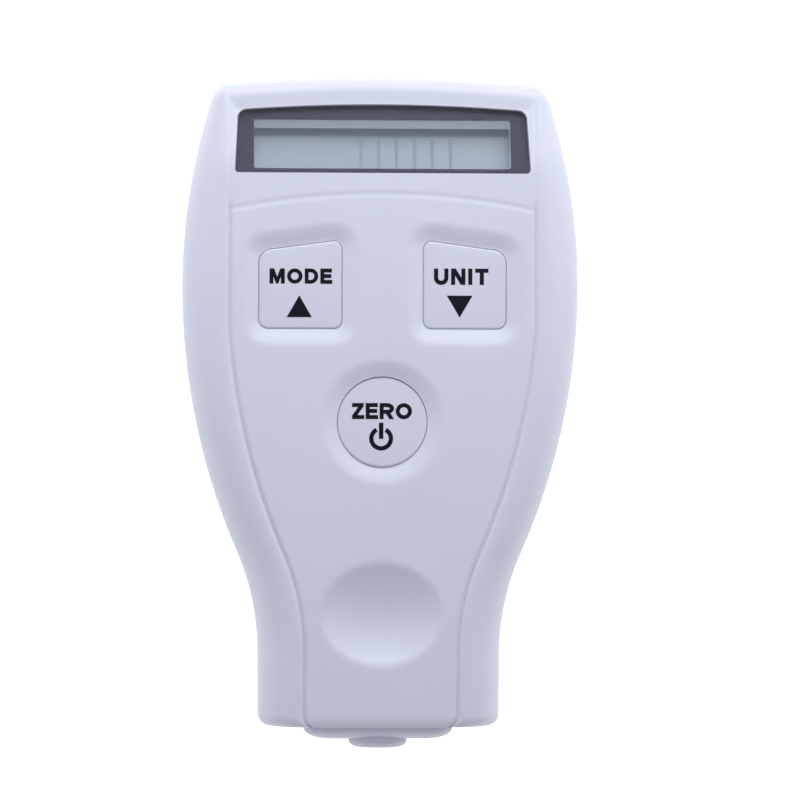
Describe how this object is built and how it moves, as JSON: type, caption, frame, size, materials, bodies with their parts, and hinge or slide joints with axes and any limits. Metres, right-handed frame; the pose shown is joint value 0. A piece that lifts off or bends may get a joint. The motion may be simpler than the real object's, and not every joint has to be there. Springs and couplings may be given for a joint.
{
  "type": "coating thickness gauge",
  "caption": "Handheld coating thickness gauge with a waisted plastic housing, a sloped display window, press keys and a sprung probe at the narrow end.",
  "frame": {"origin": "middle of the bounding box, at the back face the gauge lies on", "axes": "+Z out of the face, +Y from the probe to the display end, +X to the right seen from the face"},
  "size_m": [0.07, 0.1186, 0.0295],
  "materials": {
    "housing": "fine satin moulding",
    "keys": "smooth satin moulding",
    "lens": "clear sheet with a dark border printed behind",
    "display_glass": "grey-green display glass",
    "black_plastic": "moulded",
    "zebra_rubber": "layered conductive rubber",
    "board": "lacquered glass-fibre board",
    "ribbon": "film with printed tracks",
    "plunger_plastic": "moulded",
    "cell_can": "plain sleeve over a steel can",
    "steel": "nickel-plated",
    "core_iron": "ground end",
    "bobbin_plastic": "moulded",
    "copper_wire": "enamelled wire",
    "lead_cover": "thin insulated wire"
  },
  "bodies": {
    "housing": {"front_shell": "housing", "rear_shell": "housing", "probe_collar": "housing", "window_lens": "lens", "display_glass": "display_glass", "display_frame": "black_plastic", "zebra_strip": "zebra_rubber", "display_board": "board", "display_ribbon": "ribbon", "display_screws": "steel", "main_board": "board", "controller_chip": "black_plastic", "board_screws": "steel", "mode_switch": "black_plastic", "unit_switch": "black_plastic", "zero_switch": "black_plastic", "battery_left": "cell_can", "battery_right": "cell_can", "contact_positive": "steel", "contact_negative": "steel", "contact_bridge": "steel", "battery_springs": "steel", "probe_spring": "steel", "probe_cap": "black_plastic", "probe_leads": "lead_cover", "shell_screws": "steel"},
    "mode_key": {"mode_key": "keys", "mode_plunger": "plunger_plastic"},
    "unit_key": {"unit_key": "keys", "unit_plunger": "plunger_plastic"},
    "zero_key": {"zero_key": "keys", "zero_plunger": "plunger_plastic"},
    "probe": {"probe_sleeve": "housing", "probe_core": "core_iron", "coil_bobbin": "bobbin_plastic", "coil_winding": "copper_wire"},
    "battery_door": {"battery_door": "housing"}
  },
  "joints": [
    {"name": "mode_key_press", "type": "slide", "parent": "housing", "child": "mode_key", "axis": [0, 0, -1], "range_m": [0, 0.0005], "stiffness_N_per_m": 2000, "springref_m": -0.0005},
    {"name": "unit_key_press", "type": "slide", "parent": "housing", "child": "unit_key", "axis": [0, 0, -1], "range_m": [0, 0.0005], "stiffness_N_per_m": 2000, "springref_m": -0.0005},
    {"name": "zero_key_press", "type": "slide", "parent": "housing", "child": "zero_key", "axis": [0, 0, -1], "range_m": [0, 0.0005], "stiffness_N_per_m": 2000, "springref_m": -0.0005},
    {"name": "probe_press", "type": "slide", "parent": "housing", "child": "probe", "axis": [0, 1, 0], "range_m": [0, 0.0012], "stiffness_N_per_m": 800, "springref_m": -0.001, "deforming": ["probe_spring", "probe_leads"]},
    {"name": "battery_door_swing", "type": "hinge", "parent": "housing", "child": "battery_door", "pos_m": [0, -0.01925, 0], "axis": [-1, 0, 0], "range_deg": [0, 75]}
  ]
}
